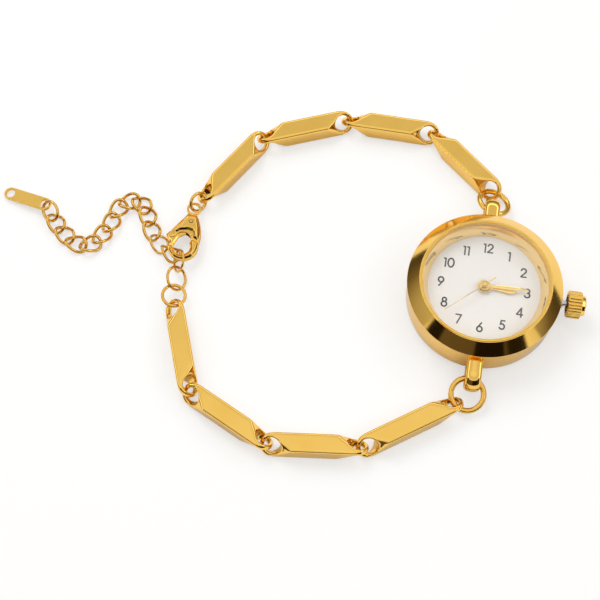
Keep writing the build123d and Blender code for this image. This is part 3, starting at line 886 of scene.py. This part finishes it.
def evenMesh(piece, voxel):
    remesh = piece.modifiers.new("evenMesh", "REMESH")
    remesh.mode = "VOXEL"
    remesh.voxel_size = voxel * mm
    return remesh


def polishEdges(piece, look):
    # smoothing rounds the edges and shrinks the piece, and the swell sets its size
    soften = piece.modifiers.new("castEdges", "SMOOTH")
    soften.factor = castFactor
    soften.iterations = look["passes"]
    settled = piece.modifiers.new("fullSize", "DISPLACE")
    settled.strength = look["swell"] * mm
    settled.mid_level = 0.0


def castCopy(nodeName, name, look):
    mesh = nodes[nodeName].data.copy()
    mesh.name = name
    piece = addPiece(name, mesh)
    evenMesh(piece, look["voxel"]).use_smooth_shade = True
    polishEdges(piece, look)
    stand(piece, nodeName)


def domedCopy(nodeName, look):
    # the flat faces of the solid are rounded over towards its outline, as on a cast and polished clasp
    source = nodes[nodeName]
    base = placed(look["name"] + "Base", source.data.copy())
    evenMesh(base, look["voxel"])
    mesh = bpy.data.meshes.new_from_object(base.evaluated_get(bpy.context.evaluated_depsgraph_get()))
    mesh.name = look["name"]
    bpy.data.objects.remove(base)
    # the walls round the pin's hole don't count as outline
    pinLow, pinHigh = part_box("clasp_pin")
    pinPlace = (pinLow + pinHigh) / 2
    pinClear = (pinHigh - pinLow).x / 2 + domeLook["pinGap"] * mm
    walls = [
        tuple(face.vertices) for face in source.data.polygons
        if abs(face.normal.z) < domeLook["wallSlope"] and (face.center - pinPlace).xy.length > pinClear
    ]
    outline = BVHTree.FromPolygons([vertex.co.copy() for vertex in source.data.vertices], walls)
    low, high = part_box(nodeName)
    middle, half = (low.z + high.z) / 2, (high.z - low.z) / 2
    for vertex in mesh.vertices:
        inward = min(outline.find_nearest(vertex.co)[3] / (domeLook["reach"] * mm), 1.0)
        dome = max(math.sqrt(1 - (1 - inward) ** 2), look["leastShare"]) * half
        vertex.co.z = middle + max(-dome, min(vertex.co.z - middle, dome))
    piece = addPiece(look["name"], mesh)
    polishEdges(piece, look)
    stand(piece, nodeName)


for number in range(1, barLook["bars"] + 1):
    castCopy(f"bar_link_{number}", f"barLink{number}Soft", barLook)
for nodeName, look in claspLook.items():
    domedCopy(nodeName, look)
print("bars and clasp cast")


# Floor, lights and camera

studio = {
    "middle": -22.0, "floorRadius": 150.0, "floorSides": 96, "floorColour": (0.90, 0.90, 0.90),
    "grainColour": (0.885, 0.885, 0.89), "grainScale": 700.0, "floorRough": 0.9, "floorGloss": 0.1,
    "floorGlow": 0.55,
}


def makeFloor():
    look = studio
    shape = bmesh.new()
    bmesh.ops.create_circle(
        shape, cap_ends=True, radius=look["floorRadius"] * mm, segments=look["floorSides"]
    )
    floor = placed("studioFloor", meshOf(shape, "studioFloor"))
    floor.location = (look["middle"] * mm, 0, min(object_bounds()[0].z, 0))
    finish = Finish(bpy.data.materials.new("palePaper"))
    grain = finish.noise(look["grainScale"])
    finish.set(
        Base_Color=finish.mix(grain, rgba(*look["floorColour"]), rgba(*look["grainColour"])),
        Roughness=look["floorRough"], Specular_IOR_Level=look["floorGloss"],
    )
    # seen directly the paper glows a little, as in a bright tent; in reflections it is plain
    glow = finish.node("ShaderNodeEmission", sockets={"Color": rgba(1, 1, 1), "Strength": 1.0})
    camera = finish.node("ShaderNodeLightPath", output="Is Camera Ray")
    paper = Signal(finish.tree, finish.tree.nodes["Principled BSDF"].outputs[0])
    blended = finish.node(
        "ShaderNodeMixShader", sockets={0: camera * look["floorGlow"], 1: paper, 2: glow}
    )
    join(finish.tree, finish.tree.nodes["Material Output"].inputs["Surface"], blended)
    floor.data.materials.append(finish.owner)


worldLook = {
    # brightness by height, from straight down to straight up
    "around": [
        (0.0, (0.30, 0.28, 0.26)), (0.47, (0.10, 0.08, 0.06)), (0.50, (0.05, 0.04, 0.03)),
        (0.56, (0.16, 0.13, 0.09)), (0.62, (0.42, 0.39, 0.35)), (0.70, (0.62, 0.60, 0.57)),
        (0.76, (0.74, 0.73, 0.71)), (0.785, (2.1, 2.07, 2.02)), (0.838, (2.1, 2.07, 2.02)),
        (0.85, (0.78, 0.76, 0.72)), (0.945, (0.76, 0.74, 0.70)),
        (0.975, (0.96, 0.94, 0.90)), (1.0, (1.0, 0.98, 0.95)),
    ],
    # the dark side, from left to right as seen from the camera, with its sharp stripes
    "stripes": [
        (0.0, (0.95, 0.93, 0.90)), (0.10, (0.95, 0.93, 0.90)), (0.115, (0.012, 0.008, 0.006)),
        (0.20, (0.015, 0.010, 0.007)), (0.215, (0.13, 0.10, 0.07)), (0.50, (0.11, 0.085, 0.06)),
        (0.515, (0.012, 0.008, 0.006)), (0.75, (0.012, 0.008, 0.006)), (0.765, (0.10, 0.075, 0.05)),
        (0.80, (0.02, 0.014, 0.01)), (0.90, (0.02, 0.014, 0.01)), (0.915, (1.0, 0.98, 0.95)),
        (1.0, (0.7, 0.68, 0.64)),
    ],
    # where the dark side begins, and where the roof above it takes over
    "side": [(0.67, (0, 0, 0)), (0.69, (1, 1, 1))],
    "roof": [(0.80, (0, 0, 0)), (0.86, (1, 1, 1))],
    "sideEast": 0.1, "sideSouth": 0.94,
}


def makeWorld():
    # a soft tent, dark near the horizon, with a dark side towards the camera
    world = bpy.data.worlds.new("tent")
    bpy.context.scene.world = world
    finish = Finish(world)
    look = worldLook
    parts = finish.node("ShaderNodeSeparateXYZ", sockets={
        "Vector": finish.node("ShaderNodeTexCoord", output="Generated"),
    })
    east, north, up = parts, parts.beside(1), parts.beside(2)
    around = finish.ramp(up * 0.5 + 0.5, look["around"])
    stripes = finish.ramp(east * 0.5 + 0.5, look["stripes"])
    facing = east * look["sideEast"] - north * look["sideSouth"]
    side = finish.ramp(facing * 0.5 + 0.5, look["side"])
    roof = finish.ramp(up * 0.5 + 0.5, look["roof"])
    sky = finish.mix(roof, finish.mix(side, around, stripes), around)
    camera = finish.node("ShaderNodeLightPath", output="Is Camera Ray")
    background = finish.tree.nodes["Background"]
    join(finish.tree, background.inputs["Color"], finish.mix(camera, sky, rgba(1, 1, 1)))
    join(finish.tree, background.inputs["Strength"], 1.0)


lightLook = {
    "keyLight": {"place": (-140, 120, 260), "size": 160, "power": 0.30},
    "fillLight": {"place": (150, -60, 240), "size": 220, "power": 0.10},
}


def areaLight(name, look):
    data = bpy.data.lights.new(name, "AREA")
    data.shape = "DISK"
    data.size = look["size"] * mm
    data.energy = look["power"]
    light = placed(name, data)
    light.location = Vector(look["place"]) * mm
    light.rotation_mode = "QUATERNION"
    ahead = Vector((studio["middle"] * mm, 0, 0)) - light.location
    light.rotation_quaternion = ahead.to_track_quat("-Z", "Y")
    light.visible_glossy = False


cameraLook = {
    "place": (-14.02, -77.92, 176.3), "target": (-25.72, -4.04, 0.0), "up": (-0.156, 0.988, 0.0),
    "lens": 79.42, "sensor": 36.0, "near": 0.01, "far": 5.0,
}


def makeCamera():
    look = cameraLook
    data = bpy.data.cameras.new("photoCamera")
    data.sensor_width = look["sensor"]
    data.lens = look["lens"]
    data.clip_start = look["near"]
    data.clip_end = look["far"]
    data.dof.use_dof = False
    camera = placed("photoCamera", data)
    place = Vector(look["place"]) * mm
    ahead = (Vector(look["target"]) * mm - place).normalized()
    right = ahead.cross(Vector(look["up"])).normalized()
    above = right.cross(ahead)
    camera.matrix_world = Matrix((
        (right.x, above.x, -ahead.x, place.x), (right.y, above.y, -ahead.y, place.y),
        (right.z, above.z, -ahead.z, place.z), (0, 0, 0, 1),
    ))
    bpy.context.scene.camera = camera


makeFloor()
makeWorld()
for name, look in lightLook.items():
    areaLight(name, look)
makeCamera()
bpy.context.scene.view_settings.view_transform = "Standard"
print("studio ready")
